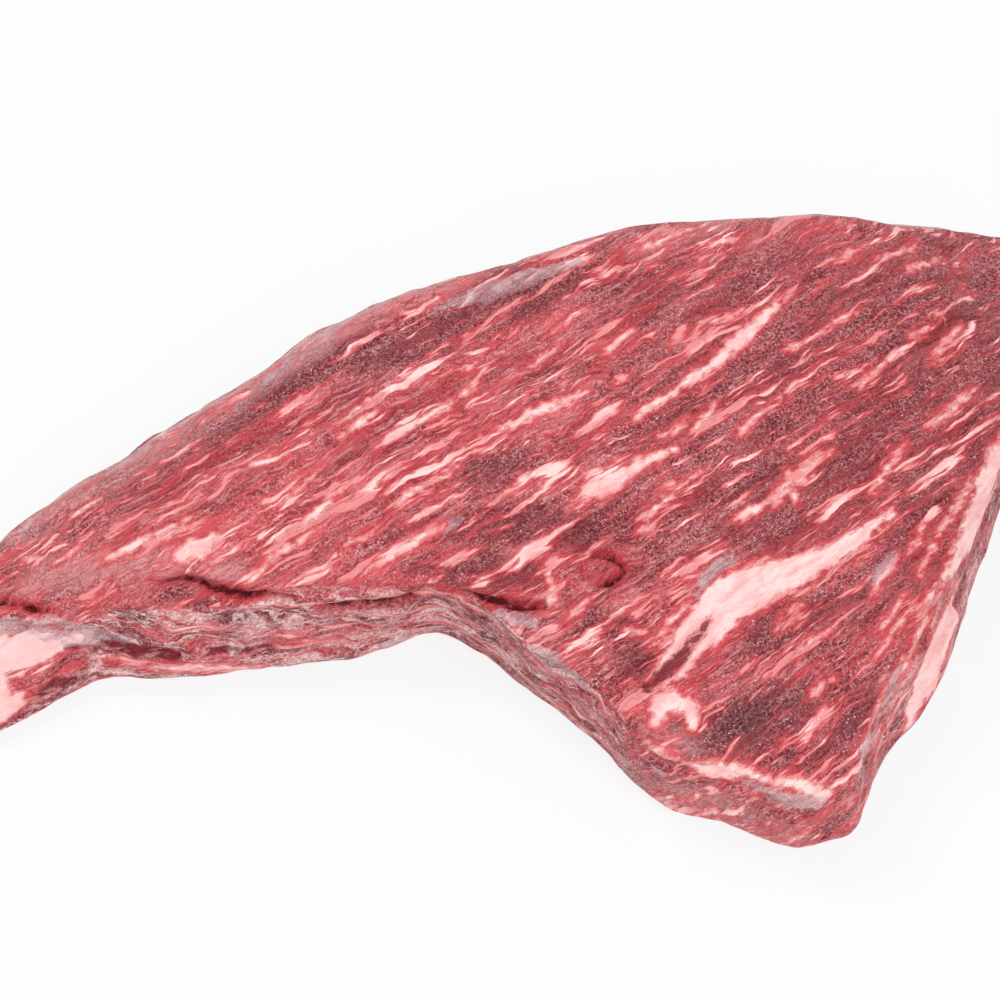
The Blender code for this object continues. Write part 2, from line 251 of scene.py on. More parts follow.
SIDE_BARE = [
    # Brown lean low on the broad end's side and at its corner
    [(134, 6, 21, 3.5), (130.5, -2, 21.5, 6.0), (126.5, -12.5, 24, 9.0), (124, -19, 24, 10.0),
     (122, -25, 24, 7.0)],
    [(105.4, -53, 32, 2.2), (104, -57, 26, 2.6), (103, -60, 21, 3.0), (101, -65, 17, 2.6)],
]
SIDE_PALER = [
    # Paler lean on the cut side below the rim fat, partly painted light on that dim wall, and on the tail's
    # front
    [(32, -70, 10, 8.0), (45, -79, 12, 10.0), (58, -83, 13, 10.0), (72, -88, 12, 7.0)],
    [(-78, -37, 27, 4.0), (-60, -37, 16, 4.0)],
]
SIDE_DEEP = [
    # Hollows on the front, sunk in the relief and darkened red with painted shade
    [(-121, -38, 18, 1.2), (-112, -39, 18, 2.6), (-100, -39, 17, 2.4), (-90, -39, 15, 1.4)],
    [(-84, -39, 17, 1.0), (-74, -39, 17, 1.8), (-66, -38, 16, 0.8)],
    [(-64, -35, 24, 0.6), (-54, -36, 24, 1.6), (-46, -35, 23, 0.6)],
    [(-138, -50, 9, 1.0), (-126, -46, 11, 2.2), (-118, -44, 10, 1.0)],
]

# The depth of a point that is far outside a strand
FAR_OUTSIDE = -50.0

# The edges of the zones wander by layers of noise, each (reach, size, shift of the seed).
WOBBLE = [(1.1, 9, 0), (0.5, 3.2, 7)]
WOBBLE_SEEDS = (11.3, 23.9, 37.1)
WOBBLE_SHARES = (1.0, 1.0, 0.6)

# How far up the skin faces where it turns from side to cut face, and down at the underside.
SIDE_TO_TOP = (0.35, 0.8)
SIDE_TO_BASE = (0.3, 0.8)
TOP_FROM = 0.3

# The wall below the broad corner is cut lean, as the top is: ramps where it starts, ends and lies.
CUT_WALL_START_X = (22, 38)
CUT_WALL_END_X = (84, 98)
CUT_WALL_BACK_Y = (-40, -30)

# How far outside and inside its strands each kind of patch fades in.
PATCH_EDGE = (-4.0, 2.5)
STAIN_EDGE = (-3.0, 2.5)
BRIGHT_EDGE = (-5.0, 2.0)
LEAN_EDGE = (-2.0, 1.5)
BARE_EDGE = (-1.5, 1.0)
LOBE_EDGE = (-1.0, 4.0)

# The ring round the knob is broken up by noise, lean cuts into the fat of the sides, and the
# slits cut through the fat of the cut face.
RING_BREAKS = [(1.8, (5, 5, 5), 71.3)]
RING_DEPTH = 0.2
LEAN_INTO_FAT = 1.5
SLIT_INTO_FAT = 0.2

# The lean is dark with age towards the broad end, less so at its back rim, and a little at the tail.
AGED_END = 0.75
AGED_RIM_LOSS = 0.7
AGED_TAIL = 0.25
AGED_END_X = (5, 80)
AGED_END_Y = (-60, -5)
AGED_RIM_Y = (58, 78)
AGED_TAIL_X = (60, 110)
AGED_TAIL_Y = (-20, 10)

# The broad end's side is fresh and red, apart from what lies low behind the corner, and the
# lean strands are fresher than the rest of the tail's front.
FRESH_SIDE = 0.9
FRESH_STRANDS = 0.6
FRESH_SIDE_X = (86, 98)
BEHIND_CORNER_Y = (-40, -15)
LOW_ON_SIDE_Z = (24, 34)

# A fat seam's half width as a share of its width, at shares of its length.
SEAM_SWELL = [(0.0, 0.12), (0.15, 0.38), (0.4, 0.5), (0.75, 0.36), (1.0, 0.12)]

# Relief in millimetres. Swells and folds are layers of noise, each (height, sizes, seed).
CUT_FACE_SWELLS = [(0.8, (34, 7, 30), 2.1), (0.6, (17, 3.1, 15), 5.6), (0.4, (8, 1.8, 8), 9.4)]
SIDE_FOLDS = [(1.0, (26, 26, 8), 4.4), (0.8, (13, 13, 3.4), 8.8), (0.5, (7, 7, 2.0), 6.1)]
# Fat is evener than lean, a little raised and grooved along its edge.
FAT_EDGE = (-0.3, 0.9)
FAT_EVENNESS = 0.7
FAT_RISE = 0.3
FAT_GROOVE = 0.3
FAT_GROOVE_WIDTH = 0.5
HOLLOW_EDGE = (-1.5, 1.5)
HOLLOW_DROP = 1.3
LOBE_EVENNESS = 0.75
LOBE_RISE = 1.6

# Cracks as (zone, drop, height of the lip beside it)
CRACKS = [("slit", 2.2, 0.5), ("crevice", 2.6, 0.8)]
CRACK_EDGE = (-0.9, 0.9)
LIP_AWAY = 2.2
LIP_WIDTH = 1.4

# Pits and the knob, with their edges as shares of their radius, and the still foot of the sides
PIT_DROP = 1.6
PIT_EDGE = (0.3, 1.3)
KNOB_RISE = 1.4
KNOB_EDGE = (0.2, 0.9)
FOOT_Z = (0.2, 3.0)

# Streaks along the grain of the cut face: length and width in millimetres, seed and detail.
CUT_STREAKS = {
    "fibres": (9, 0.9, 1.0, 3.0),
    "mottle": (22, 6, 2.0, 3.0),
    "creases": (15, 3.6, 35.0, 3.0),
    "wet bands": (34, 5, 3.0, 3.0),
    "flush": (46, 15, 73.0, 2.0),
    "dull bands": (60, 14, 8.0, 2.0),
    "dry bands": (26, 9, 71.0, 2.0),
    "glint clusters": (18, 6, 81.0, 2.0),
    "threads": (17, 2.6, 31.0, 2.0),
    "thready bands": (30, 9, 33.0, 2.0),
    "ragged edges": (5, 1.4, 12.0, 3.0),
    "marbling": (24, 3.6, 21.0, 3.0),
    "marbled bands": (55, 16, 27.0, 2.0),
    "slivers": (14, 1.7, 61.0, 2.0),
    "slivered bands": (38, 11, 63.0, 2.0),
    "marbling strength": (30, 8, 75.0, 2.0),
    "fat mottle": (10, 4.0, 51.0, 3.0),
    "red veins": (10, 3.0, 53.0, 3.0),
}
# Level streaks round the sides: length and height in millimetres, seed and detail.
SIDE_STREAKS = {
    "layers": (8, 2.3, 5.0, 2.6),
    "pale blotches": (9, 4, 91.0, 2.0),
    "red patches": (24, 6, 6.5, 2.0),
    "lumps": (20, 7, 55.0, 3.0),
    "membrane": (18, 4.2, 15.0, 2.0),
    "thin membrane": (11, 2.6, 17.0, 2.0),
    "membrane bands": (24, 7, 18.0, 2.0),
    "ragged edges": (6, 1.1, 13.0, 3.0),
    "fat lines": (22, 2.2, 41.0, 2.0),
}

# Screen colours from 0 to 255
COLOURS = {
    "deep lean": (140, 48, 55),
    "pale lean": (202, 99, 106),
    "dark fibre": (96, 20, 30),
    "pale fibre": (236, 154, 157),
    # Painted shade: the thin dark lines in the creases along the grain
    "crease": (100, 16, 26),
    "wet lean": (202, 62, 72),
    "flushed lean": (226, 98, 105),
    "dull lean": (101, 38, 46),
    "stained lean": (84, 56, 58),
    "faded lean": (222, 160, 161),
    "pale curl": (228, 158, 160),
    "dark curl": (112, 30, 39),
    "pale speck": (230, 164, 165),
    "dark speck": (98, 24, 32),
    "glint": (248, 220, 219),
    "thread": (240, 170, 170),
    "deep fold": (100, 30, 38),
    "pale fold": (206, 116, 120),
    "fold crest": (255, 208, 206),
    "pale blotch": (248, 206, 203),
    "faded side": (240, 194, 192),
    "brown side": (168, 104, 104),
    "red side": (204, 74, 83),
    "shadowed lump": (108, 36, 44),
    "membrane": (254, 214, 212),
    "pale side curl": (244, 190, 190),
    "dark side curl": (112, 34, 43),
    "dark side speck": (92, 28, 38),
    "red fat edge": (212, 76, 82),
    "fat rim": (226, 118, 121),
    "pink fat": (241, 166, 165),
    "fat core": (240, 172, 171),
    "pale fat core": (249, 203, 200),
    "red vein": (224, 122, 126),
    "tail fat": (240, 190, 189),
    # Painted shade in the hollows of the sides
    "shaded side hollow": (118, 24, 38),
    "grey film": (172, 138, 146),
    "pale film": (216, 192, 193),
    "dark film": (142, 108, 118),
    "film glint": (238, 222, 220),
    "slit": (134, 52, 62),
    "crack edge": (196, 50, 61),
    # Painted shade in the crevices and the ring round the knob
    "crack": (84, 16, 24),
}

# Noise for the finest marks, as scales per metre, and how far the streaks sway, in metres.
SWAY_SCALE = 75.0
TORN_EDGE_SCALE = 420.0
CURL_SCALE = 620.0
CRINKLE_SCALE = 1300.0
SPECK_SCALE = 1500.0
GRAIN_SWAY = (0.005, 0.006, 0.006)
SIDE_SWAY = (0.006, 0.006, 0.011)
BUMP_HEIGHT = 0.8 * MM

# The sheen: wet bands are smoother than the dry lean, and light sinks in a little.
DRY_ROUGHNESS = 0.46
WET_ROUGHNESS = 0.32
SPECULAR_LEVEL = 0.14
SUBSURFACE_SHARE = 0.1
SUBSURFACE_COLOURS = (1.0, 0.3, 0.2)
SUBSURFACE_DEPTH = 2.0 * MM

# The studio: soft lights as (name, place, size, power), the white world and the pale floor.
LIGHTS = [
    ("key", (-0.45, 0.35, 0.95), 0.3, 4.5),
    ("glints", (-0.2, 0.25, 1.0), 0.06, 1.2),
    ("fill", (0.5, -0.5, 0.9), 0.6, 4.5),
    ("front", (0.05, -0.95, 0.3), 0.6, 1.8),
]
LIGHT_AIM = Vector((0, 0, 0.02))
WHITE = (1.0, 1.0, 1.0, 1.0)
WORLD_STRENGTH = 0.62
FLOOR_COLOUR = (0.09, 0.09, 0.09, 1.0)
FLOOR_ROUGHNESS = 0.9
FLOOR_GLOW = 0.85
FLOOR_HALF = 3.0


def ease(value, low, high):
    """0 below low, 1 above high, and a smooth step between them."""
    step = np.clip((value - low) / (high - low), 0.0, 1.0)
    return step * step * (3 - 2 * step)


def paint(name):
    """A named screen colour as the linear values that shaders take."""
    values = [c / 255 for c in COLOURS[name]]
    return tuple(((v + 0.055) / 1.055) ** 2.4 if v > 0.04045 else v / 12.92 for v in values) + (1.0,)


def waves(points, sizes, seed):
    """Smooth noise from -1 to 1 at each point, in blobs of the given sizes."""
    scaled = points / np.array(sizes, float) + seed
    return np.array([noise.noise(place) for place in scaled.tolist()])


def layered(points, layers):
    """Layers of noise added up, each (height, sizes, seed)."""
    return sum(height * waves(points, sizes, seed) for height, sizes, seed in layers)


def along_grain(points):
    """Distance along the grain, distance across its sloping sheets, and height of each point."""
    x, y = points[:, 0], points[:, 1]
    u = x * math.cos(GRAIN_ANGLE) + y * math.sin(GRAIN_ANGLE)
    v = y * math.cos(GRAIN_ANGLE) - x * math.sin(GRAIN_ANGLE)
    turned = ease(-v, -GRAIN_TURN_FROM, GRAIN_TURN_OVER - GRAIN_TURN_FROM)
    across = v - GRAIN_TURN * np.maximum(u, 0) * turned + GRAIN_DIP * points[:, 2]
    return np.stack([u, across, points[:, 2]], axis=1)


def fine_mesh(node):
    """A rounded copy of a CAD node's mesh in small even cells, with a coarser flat underside."""
    bm = bmesh.new()
    bm.from_mesh(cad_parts[node].data)
    bmesh.ops.remove_doubles(bm, verts=bm.verts, dist=TINY)
    bmesh.ops.smooth_vert(bm, verts=bm.verts, factor=0.5, use_axis_x=True, use_axis_y=True)
    coarse = bpy.data.meshes.new(node + "_coarse")
    bm.to_mesh(coarse)
    bm.free()
    holder = bpy.data.objects.new(node + "_coarse", coarse)
    bpy.context.scene.collection.objects.link(holder)
    cells = holder.modifiers.new("cells", "REMESH")
    cells.mode = "VOXEL"
    cells.voxel_size = SKIN_CELL
    seen = holder.evaluated_get(bpy.context.evaluated_depsgraph_get())
    mesh = bpy.data.meshes.new_from_object(seen)
    bpy.data.objects.remove(holder)
    renew_underside(mesh)
    return mesh


def renew_underside(mesh):
    """Smooths the skin and swaps the flat underside for one face, cut into a coarse lattice."""
    bm = bmesh.new()
    bm.from_mesh(mesh)
    skin = [v for v in bm.verts if v.co.z > SKIN_CELL]
    for _ in range(SMOOTHINGS):
        bmesh.ops.smooth_vert(bm, verts=skin, factor=0.5, use_axis_x=True, use_axis_y=True, use_axis_z=True)
    bm.normal_update()
    down = [f for f in bm.faces if f.normal.z < FACING_DOWN]
    flat = [f for f in down if f.calc_center_median().z < 0.5 * SKIN_CELL]
    bmesh.ops.delete(bm, geom=flat, context="FACES")
    for vert in bm.verts:
        if vert.is_boundary:
            vert.co.z = 0.0
    base = bmesh.ops.holes_fill(bm, edges=[e for e in bm.edges if e.is_boundary])["faces"]
    low, high = (Vector(corner) for corner in cad_box)
    for axis in (0, 1):
        step = Vector((1.0, 0.0, 0.0)) if axis == 0 else Vector((0.0, 1.0, 0.0))
        for count in range(1, int((high[axis] - low[axis]) / UNDERSIDE_CELL)):
            faces = [part for part in base if part.is_valid and isinstance(part, bmesh.types.BMFace)]
            edges = {edge for face in faces for edge in face.edges}
            verts = {vert for face in faces for vert in face.verts}
            cut = bmesh.ops.bisect_plane(
                bm, geom=[*faces, *edges, *verts], dist=TINY,
                plane_co=low + step * count * UNDERSIDE_CELL, plane_no=step,
            )
            base = cut["geom"]
    bm.to_mesh(mesh)
    bm.free()


def vertex_rows(mesh):
    """The vertices' places, in millimetres, and their normals."""
    count = len(mesh.vertices)
    places, normals = np.empty(count * 3), np.empty(count * 3)
    mesh.vertices.foreach_get("co", places)
    mesh.vertex_normals.foreach_get("vector", normals)
    return places.reshape(-1, 3) / MM, normals.reshape(-1, 3)


class Surface:
    """The meat's skin as rows of points, and what lies where on it."""

    def __init__(self, places, normals):
        self.places = places
        self.side = 1 - ease(normals[:, 2], *SIDE_TO_TOP)
        self.base = ease(-normals[:, 2], *SIDE_TO_BASE)
        self.top = np.where(normals[:, 2] > TOP_FROM)[0]
        wobble = [
            layered(places, [(reach, (size, size, size), seed + shift) for reach, size, shift in WOBBLE])
            for seed in WOBBLE_SEEDS
        ]
        self.bent = places + np.stack(wobble, axis=1) * WOBBLE_SHARES

    def height(self, x, y):
        """Height of the cut face at a plan point."""
        gaps = np.hypot(self.places[self.top, 0] - x, self.places[self.top, 1] - y)
        return self.places[self.top[np.argmin(gaps)], 2]

    def dropped(self, strand):
        """A strand of plan points, laid on the cut face."""
        return [(x, y, self.height(x, y), half) for x, y, half in strand]

    def depth(self, strand):
        """How deep each point of the skin lies inside a strand: its half width less the distance."""
        deepest = np.full(len(self.bent), FAR_OUTSIDE)
        for start, end in zip(strand, strand[1:]):
            first, run = np.array(start[:3], float), np.array(end[:3], float) - start[:3]
            share = np.clip((self.bent - first) @ run / (run @ run), 0, 1)
            gap = np.linalg.norm(self.bent - first - share[:, None] * run, axis=1)
            deepest = np.maximum(deepest, start[3] + (end[3] - start[3]) * share - gap)
        return deepest

    def deepest(self, strands):
        return np.max([self.depth(strand) for strand in strands], axis=0)

    def top_deepest(self, strands):
        return self.deepest([self.dropped(strand) for strand in strands])


def seam_strand(start, end, width):
    """A fat seam as a strand that swells to its width before the middle and tapers out."""
    ends = np.array([start, end], float)
    return [(*(ends[0] + (ends[1] - ends[0]) * share), width * half) for share, half in SEAM_SWELL]


def knob_ring(skin):
    """Distance from the torn knob's middle as a share of its radius, far off on the sides."""
    ragged = skin.bent + (skin.bent - skin.places)
    gap = np.hypot(ragged[:, 0] - KNOB[0], ragged[:, 1] - KNOB[1]) / KNOB_RADIUS
    return gap + KNOB_OFF_SIDES * skin.side


def fat_and_cracks(skin):
    """Depths inside the slit, the crevices, the fat, the film and the hollows of the sides."""
    knob = RING_DEPTH + layered(skin.places, RING_BREAKS) - np.abs(knob_ring(skin) - 1) * KNOB_RADIUS
    slit = skin.top_deepest(SLITS)
    seams = [seam_strand(*seam) for seam in FAT_SEAMS] + [LARGE_SEAM, FLAP_EDGE] + RIM_FAT
    side_fat = skin.deepest(TAIL_FAT + SIDE_FAT)
    side_fat = side_fat - LEAN_INTO_FAT * np.maximum(skin.deepest(SIDE_LEAN + SIDE_BARE), 0)
    return {
        "slit": slit,
        "crevice": np.maximum(skin.top_deepest(CREVICES), knob),
        "fat": np.minimum(np.maximum(skin.top_deepest(seams), side_fat), -slit + SLIT_INTO_FAT),
        "silver": np.maximum(skin.top_deepest(SILVERSKIN), skin.deepest(SIDE_SILVER)),
        "deep": skin.deepest(SIDE_DEEP),
    }


def lean_patches(skin):
    """Masks of the sides, of dark, stained, paler and bright lean, and of the tail's fat; the dark and
    paler masks hold some painted shade and light.
    """
    x, y, z = skin.places.T
    cut_wall = ease(x, *CUT_WALL_START_X) * (1 - ease(x, *CUT_WALL_END_X)) * (1 - ease(y, *CUT_WALL_BACK_Y))
    aged = AGED_END * ease(x, *AGED_END_X) * ease(y, *AGED_END_Y)
    aged = aged * (1 - AGED_RIM_LOSS * ease(y, *AGED_RIM_Y))
    aged = aged + AGED_TAIL * ease(-x, *AGED_TAIL_X) * ease(y, *AGED_TAIL_Y)
    paler = np.maximum(skin.top_deepest(FADED_PATCHES), skin.deepest(SIDE_PALER))
    bare = ease(skin.deepest(SIDE_BARE), *BARE_EDGE)
    beyond = ease(y, *BEHIND_CORNER_Y) * (1 - ease(z, *LOW_ON_SIDE_Z))
    fresh = FRESH_SIDE * skin.side * ease(x, *FRESH_SIDE_X) * (1 - beyond) * (1 - bare)
    fresh = np.maximum(FRESH_STRANDS * ease(skin.deepest(SIDE_LEAN), *LEAN_EDGE), fresh)
    return {
        "flank": skin.side * (1 - cut_wall),
        "dark": np.maximum(ease(skin.top_deepest(DARK_PATCHES), *PATCH_EDGE), aged),
        "stain": ease(skin.top_deepest(STAINS), *STAIN_EDGE),
        "paler": ease(paler, *PATCH_EDGE),
        "bright": np.maximum(ease(skin.top_deepest(BRIGHT_PATCHES), *BRIGHT_EDGE), fresh),
        "lobe": ease(skin.deepest(TAIL_FAT), *LOBE_EDGE),
    }


def relief(skin, zones):
    """How far each point moves out of the smooth surface, in millimetres."""
    cut_face = layered(along_grain(skin.places), CUT_FACE_SWELLS)
    fat = ease(zones["fat"], *FAT_EDGE)
    cut_face = cut_face * (1 - FAT_EVENNESS * fat) + FAT_RISE * fat
    cut_face -= FAT_GROOVE * np.exp(-((zones["fat"] / FAT_GROOVE_WIDTH) ** 2))

    folds = layered(skin.bent, SIDE_FOLDS) - HOLLOW_DROP * ease(zones["deep"], *HOLLOW_EDGE)
    folds = folds * (1 - LOBE_EVENNESS * zones["lobe"]) + LOBE_RISE * zones["lobe"]

    move = cut_face * (1 - skin.side) + folds * skin.side
    for name, drop, lip in CRACKS:
        away = (zones[name] + LIP_AWAY) / LIP_WIDTH
        move += lip * np.exp(-(away**2)) - drop * ease(zones[name], *CRACK_EDGE)
    for x, y, radius in PITS:
        gap = np.hypot(skin.bent[:, 0] - x, skin.bent[:, 1] - y) / radius
        move -= PIT_DROP * (1 - ease(gap, *PIT_EDGE)) * (1 - skin.side)
    move += KNOB_RISE * (1 - ease(knob_ring(skin), *KNOB_EDGE))
    return move * (1 - skin.base) * ease(skin.places[:, 2], *FOOT_Z)


def store(mesh, name, values, scale=1.0):
    """Keeps one value or one vector for each vertex as a mesh attribute."""
    kind = "FLOAT_VECTOR" if values.ndim == 2 else "FLOAT"
    field = mesh.attributes.new(name, kind, "POINT")
    field.data.foreach_set("vector" if values.ndim == 2 else "value", (values * scale).ravel())


def shape_meat():
    """The meat's mesh: the CAD solid in a finer mesh, with its grain, seams, folds and cracks."""
    mesh = fine_mesh("tri_tip")
    places, normals = vertex_rows(mesh)
    skin = Surface(places, normals)
    zones = {**fat_and_cracks(skin), **lean_patches(skin)}
    moved = places + normals * relief(skin, zones)[:, None]
    moved[:, 2] = np.maximum(moved[:, 2], 0.0)
    mesh.vertices.foreach_set("co", (moved * MM).ravel())
    mesh.update()
    mesh.shade_smooth()
    store(mesh, "grain", along_grain(places), MM)
    for name, values in zones.items():
        store(mesh, name, values)
    return mesh


class Tree:
    """Adds nodes to a shader tree. A socket given as a value is linked; anything else is set."""

    def __init__(self, tree):
        self.tree = tree

    def put(self, kind, values=None, **settings):
        node = self.tree.nodes.new(kind)
        for name, value in settings.items():
            setattr(node, name, value)
        for key, value in (values or {}).items():
            self.give(node.inputs[key], value)
        return node

    def give(self, socket, value):
        if isinstance(value, bpy.types.NodeSocket):
            self.tree.links.new(value, socket)
        else:
            socket.default_value = value

    def math(self, operation, first, second):
        return self.put("ShaderNodeMath", {0: first, 1: second}, operation=operation).outputs[0]

    def times(self, first, second):
        return self.math("MULTIPLY", first, second)

    def most(self, first, second):
        return self.math("MAXIMUM", first, second)

    def vector(self, operation, first, second):
        return self.put("ShaderNodeVectorMath", {0: first, 1: second}, operation=operation).outputs[0]

    def span(self, value, low, high, start=0.0, end=1.0):
        """The value's smooth step from low to high, as a value from start to end."""
        values = {"Value": value, "From Min": low, "From Max": high, "To Min": start, "To Max": end}
        return self.put("ShaderNodeMapRange", values, interpolation_type="SMOOTHSTEP").outputs[0]

    def line(self, value, half):
        """1 on the contour lines of a streak field, falling to 0 at half its step away."""
        away = self.math("SUBTRACT", value, 0.5)
        return self.span(self.math("ABSOLUTE", away, 0.0), half, 0.0)

    def mix(self, share, first, second):
        """Two values mixed by a share."""
        return self.put("ShaderNodeMix", {0: share, 2: first, 3: second}).outputs[0]

    def blend(self, share, first, second):
        """Two colours mixed by a share."""
        node = self.put("ShaderNodeMix", data_type="RGBA", blend_type="MIX")
        for index, value in ((0, share), (6, first), (7, second)):
            self.give(node.inputs[index], value)
        return node.outputs[2]

    def coat(self, share, under, name):
        """A named colour laid over another colour by a share."""
        return self.blend(share, under, paint(name))

    def field(self, name, output="Fac"):
        """A vertex attribute of the piece."""
        return self.put("ShaderNodeAttribute", attribute_name=name).outputs[output]

    def group(self, tree, values):
        node = self.put("ShaderNodeGroup", node_tree=tree)
        for key, value in values.items():
            self.give(node.inputs[key], value)
        return node.outputs


def new_group(name, inputs, outputs):
    """An empty shader node group with named sockets, as a Tree with its inner input and output nodes."""
    tree = bpy.data.node_groups.new(name, "ShaderNodeTree")
    for socket, kind, value in inputs:
        made = tree.interface.new_socket(socket, in_out="INPUT", socket_type="NodeSocket" + kind)
        if value is not None:
            made.default_value = value
    for socket, kind in outputs:
        tree.interface.new_socket(socket, in_out="OUTPUT", socket_type="NodeSocket" + kind)
    inside = Tree(tree)
    return inside, inside.put("NodeGroupInput").outputs, inside.put("NodeGroupOutput").inputs


def streak_group():
    """Noise drawn out along the first axis of its vector: fibres on the cut face, folds on the sides."""
    inputs = [("Vector", "Vector", None), ("Stretch", "Vector", None), ("Detail", "Float", 2.0),
              ("Seed", "Float", 0.0)]
    inside, given, out = new_group("fibre_streaks", inputs, [("Value", "Float")])
    scaled = inside.vector("DIVIDE", given["Vector"], given["Stretch"])
    moved = inside.vector("ADD", scaled, given["Seed"])
    values = {"Vector": moved, "Scale": 1.0, "Detail": given["Detail"], "Roughness": 0.55}
    inside.give(out["Value"], inside.put("ShaderNodeTexNoise", values).outputs["Fac"])
    return inside.tree


def fat_group():
    """The colour from lean to fat by depth into the fat: a red edge, then pink, then near white."""
    inputs = [("Lean", "Color", None), ("Depth", "Float", -5.0), ("Edge", "Color", None),
              ("Core", "Color", None)]
    inside, given, out = new_group("fat_in_lean", inputs, [("Color", "Color"), ("Share", "Float")])
    depth = given["Depth"]
    glow = inside.times(inside.span(depth, -2.4, -0.5), 0.65)
    colour = inside.blend(glow, given["Lean"], given["Edge"])
    colour = inside.coat(inside.span(depth, -0.7, -0.1), colour, "fat rim")
    colour = inside.coat(inside.span(depth, -0.2, 0.4), colour, "pink fat")
    colour = inside.blend(inside.span(depth, 0.3, 1.3), colour, given["Core"])
    inside.give(out["Color"], colour)
    inside.give(out["Share"], inside.span(depth, 0.0, 0.9))
    return inside.tree


class MeatTree(Tree):
    """The meat's shader tree, with the places, streaks and masks that its layers share."""

    def __init__(self, tree):
        super().__init__(tree)
        self.streaks = streak_group()
        grain = self.field("grain", "Vector")
        self.place = self.put("ShaderNodeTexCoord").outputs["Object"]
        warp = self.put("ShaderNodeTexNoise", {"Vector": grain, "Scale": SWAY_SCALE, "Detail": 3.0})
        sway = self.vector("SUBTRACT", warp.outputs["Color"], (0.5, 0.5, 0.5))
        self.bent_grain = self.vector("ADD", grain, self.vector("MULTIPLY", sway, GRAIN_SWAY))
        self.bent_place = self.vector("ADD", self.place, self.vector("MULTIPLY", sway, SIDE_SWAY))

        self.side = self.span(self.field("flank"), 0.35, 0.65)
        self.dark = self.field("dark")
        self.paler = self.field("paler")
        self.bright = self.field("bright")
        self.lobe = self.field("lobe")
        self.fresh = self.span(self.dark, 0.0, 0.6, 0.8, 0.3)
        self.wet = self.most(self.span(self.cut("wet bands"), 0.5, 0.63), self.times(self.bright, 0.8))

        self.fibres = self.cut("fibres")
        self.layers = self.fold("layers")
        self.creases = self.line(self.cut("creases"), 0.016)
        self.curls = self.line(self.noise(CURL_SCALE, 2.0), 0.09)
        self.specks = self.noise(SPECK_SCALE, 2.5, 0.7)
        rag = self.mix(self.side, self.cut("ragged edges"), self.fold("ragged edges"))
        torn = self.math("ADD", rag, self.noise(TORN_EDGE_SCALE, 3.0))
        self.rag = self.math("SUBTRACT", torn, 1.0)

    def noise(self, scale, detail, roughness=0.5):
        values = {"Vector": self.place, "Scale": scale, "Detail": detail, "Roughness": roughness}
        return self.put("ShaderNodeTexNoise", values).outputs["Fac"]

    def streak(self, vector, size, seed, detail):
        stretch = tuple(axis * MM for axis in size)
        values = {"Vector": vector, "Stretch": stretch, "Detail": detail, "Seed": seed}
        return self.group(self.streaks, values)[0]

    def cut(self, name):
        """Streaks along the grain of the cut face."""
        length, width, seed, detail = CUT_STREAKS[name]
        return self.streak(self.bent_grain, (length, width, 3 * width), seed, detail)

    def fold(self, name):
        """Level streaks round the sides."""
        length, height, seed, detail = SIDE_STREAKS[name]
        return self.streak(self.bent_place, (length, length, height), seed, detail)

    def ragged(self, name, reach):
        """A depth attribute with its edge torn by up to the given reach."""
        return self.math("ADD", self.field(name), self.times(self.rag, reach))


def cut_face_lean(meat):
    """Lean of the cut face: mottled fibres, creases in painted shade, wet bands, and dull, stained and
    paler patches.
    """
    fibres = meat.fibres
    lean = meat.blend(meat.span(meat.cut("mottle"), 0.36, 0.62), paint("deep lean"), paint("pale lean"))
    lean = meat.coat(meat.span(fibres, 0.46, 0.3, end=0.62), lean, "dark fibre")
    lean = meat.coat(meat.times(meat.span(fibres, 0.5, 0.66), meat.fresh), lean, "pale fibre")
    # Painted shade in the creases along the grain, where the bump dips too
    lean = meat.coat(meat.times(meat.creases, 0.6), lean, "crease")
    lean = meat.coat(meat.times(meat.wet, 0.55), lean, "wet lean")
    flush = meat.times(meat.span(meat.cut("flush"), 0.5, 0.64, end=0.5), meat.fresh)
    lean = meat.coat(flush, lean, "flushed lean")
    dull = meat.most(meat.span(meat.cut("dull bands"), 0.54, 0.72, end=0.45), meat.dark)
    lean = meat.coat(meat.times(dull, 0.7), lean, "dull lean")
    stain = meat.times(meat.field("stain"), meat.span(fibres, 0.36, 0.56, 1.0, 0.5))
    lean = meat.coat(meat.times(stain, 0.8), lean, "stained lean")
    # Paler lean, on the cut wall below the rim fat partly painted light
    return meat.coat(meat.times(meat.paler, 0.52), lean, "faded lean")


def crinkled(meat, lean):
    """The dry crinkle over the lean of the cut face: curls, specks, glints and thin pale threads."""
    dry = meat.math("SUBTRACT", 1.0, meat.times(meat.wet, 0.6))
    dry = meat.times(dry, meat.span(meat.cut("dry bands"), 0.4, 0.6, 0.4, 1.0))
    marks = [
        (meat.span(meat.curls, 0.4, 0.95, end=0.4), "pale curl"),
        (meat.span(meat.curls, 0.3, 0.0, end=0.36), "dark curl"),
        (meat.span(meat.specks, 0.52, 0.66, end=0.5), "pale speck"),
        (meat.span(meat.specks, 0.49, 0.36, end=0.5), "dark speck"),
    ]
    for share, name in marks:
        lean = meat.coat(meat.times(share, dry), lean, name)
    clusters = meat.span(meat.cut("glint clusters"), 0.48, 0.6, end=0.65)
    lean = meat.coat(meat.times(meat.span(meat.specks, 0.61, 0.68), clusters), lean, "glint")
    thready = meat.span(meat.cut("thready bands"), 0.45, 0.6)
    threads = meat.times(meat.line(meat.cut("threads"), 0.012), thready)
    return meat.coat(meat.times(threads, 0.7), lean, "thread")


